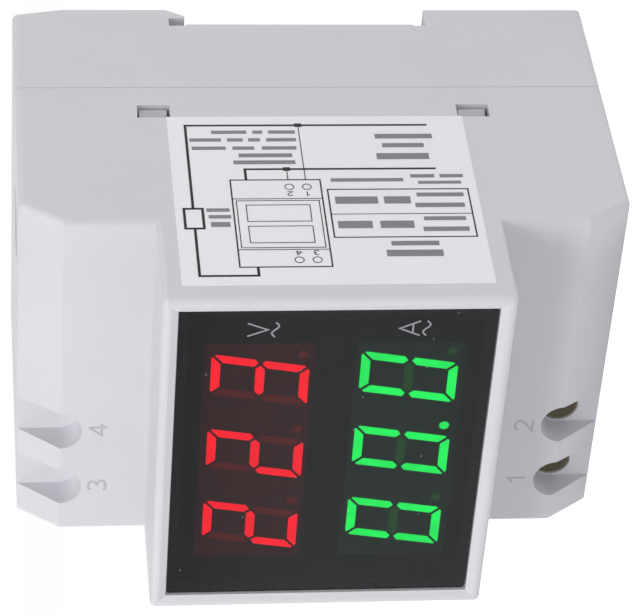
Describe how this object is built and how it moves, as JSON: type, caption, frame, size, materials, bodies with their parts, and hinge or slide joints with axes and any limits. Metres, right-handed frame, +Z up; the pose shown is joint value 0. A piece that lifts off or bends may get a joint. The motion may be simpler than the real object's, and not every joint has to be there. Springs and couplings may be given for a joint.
{
  "type": "din rail multifunction meter",
  "caption": "Rail-mounting two-row digital voltage and current meter with a wire passage, shoulder terminals and a sprung rail latch.",
  "frame": {"origin": "centre of the rail seat, the flat channel floor that lies against the mounting rail", "axes": "+Z up as installed, +Y out of the back towards the panel, +X to the right seen from the front; the display faces -Y"},
  "size_m": [0.0541, 0.0635, 0.08],
  "materials": {
    "case_plastic": "moulded light grey flame-retardant plastic, fine satin texture",
    "latch_plastic": "moulded dark grey acetal, satin",
    "spring_steel": "drawn spring wire",
    "smoked_window": "smoked acrylic filter, polished",
    "red_display": "red light block, cast resin",
    "green_display": "green light block, cast resin",
    "circuit_board": "glass-fibre laminate with solder mask",
    "tube_plastic": "extruded insulating tube",
    "transformer_tape": "wound ring under polyester tape",
    "block_plastic": "moulded olive polyamide terminal block",
    "plated_steel": "zinc-plated steel",
    "tinned_brass": "stamped tinned brass",
    "film_case": "potted film capacitor case",
    "sleeved_can": "aluminium can in shrink sleeve",
    "chip_epoxy": "moulded black epoxy",
    "varistor_coat": "dipped epoxy coat",
    "resistor_coat": "cement coat",
    "trimmer_plastic": "moulded trimmer housing",
    "label_film": "printed white film, semi-gloss"
  },
  "bodies": {
    "case": {"front_cover": "case_plastic", "lower_shoulder": "case_plastic", "upper_shoulder": "case_plastic", "rear_base": "case_plastic", "latch_spring": "spring_steel", "display_window": "smoked_window", "red_display": "red_display", "green_display": "green_display", "display_board": "circuit_board", "main_board": "circuit_board", "wire_tube": "tube_plastic", "current_transformer": "transformer_tape", "terminal_block": "block_plastic", "contact_bar_1": "tinned_brass", "contact_bar_2": "tinned_brass", "film_capacitor": "film_case", "filter_capacitor": "sleeved_can", "output_capacitor": "sleeved_can", "bridge_rectifier": "chip_epoxy", "varistor": "varistor_coat", "fuse_resistor": "resistor_coat", "board_header": "chip_epoxy", "regulator": "chip_epoxy", "calibration_trimmer_1": "trimmer_plastic", "calibration_trimmer_2": "trimmer_plastic", "microcontroller": "chip_epoxy", "display_driver": "chip_epoxy", "side_label": "label_film"},
    "latch": {"rail_latch": "latch_plastic"},
    "screw_1": {"terminal_screw_1": "plated_steel"},
    "screw_2": {"terminal_screw_2": "plated_steel"},
    "cage_1": {"clamp_cage_1": "plated_steel"},
    "cage_2": {"clamp_cage_2": "plated_steel"}
  },
  "joints": [
    {"name": "latch_slide", "type": "slide", "parent": "case", "child": "latch", "axis": [0, 0, -1], "range_m": [0, 0.0045], "stiffness_N_per_m": 500, "springref_m": -0.003, "deforming": ["latch_spring"]},
    {"name": "screw_turn_1", "type": "hinge", "parent": "case", "child": "screw_1", "pos_m": [-0.01896, -0.0366, -0.0345], "axis": [0, 1, 0], "range_deg": [0, 1445]},
    {"name": "clamp_slide_1", "type": "slide", "parent": "case", "child": "cage_1", "axis": [0, -1, 0], "range_m": [0, 0.002]},
    {"name": "screw_turn_2", "type": "hinge", "parent": "case", "child": "screw_2", "pos_m": [-0.0088, -0.0366, -0.0345], "axis": [0, 1, 0], "range_deg": [0, 1445]},
    {"name": "clamp_slide_2", "type": "slide", "parent": "case", "child": "cage_2", "axis": [0, -1, 0], "range_m": [0, 0.002]}
  ],
  "couplings": [
    {"joint": "screw_turn_1", "follows": "clamp_slide_1", "rad_per_m": 12566},
    {"joint": "screw_turn_2", "follows": "clamp_slide_2", "rad_per_m": 12566}
  ]
}
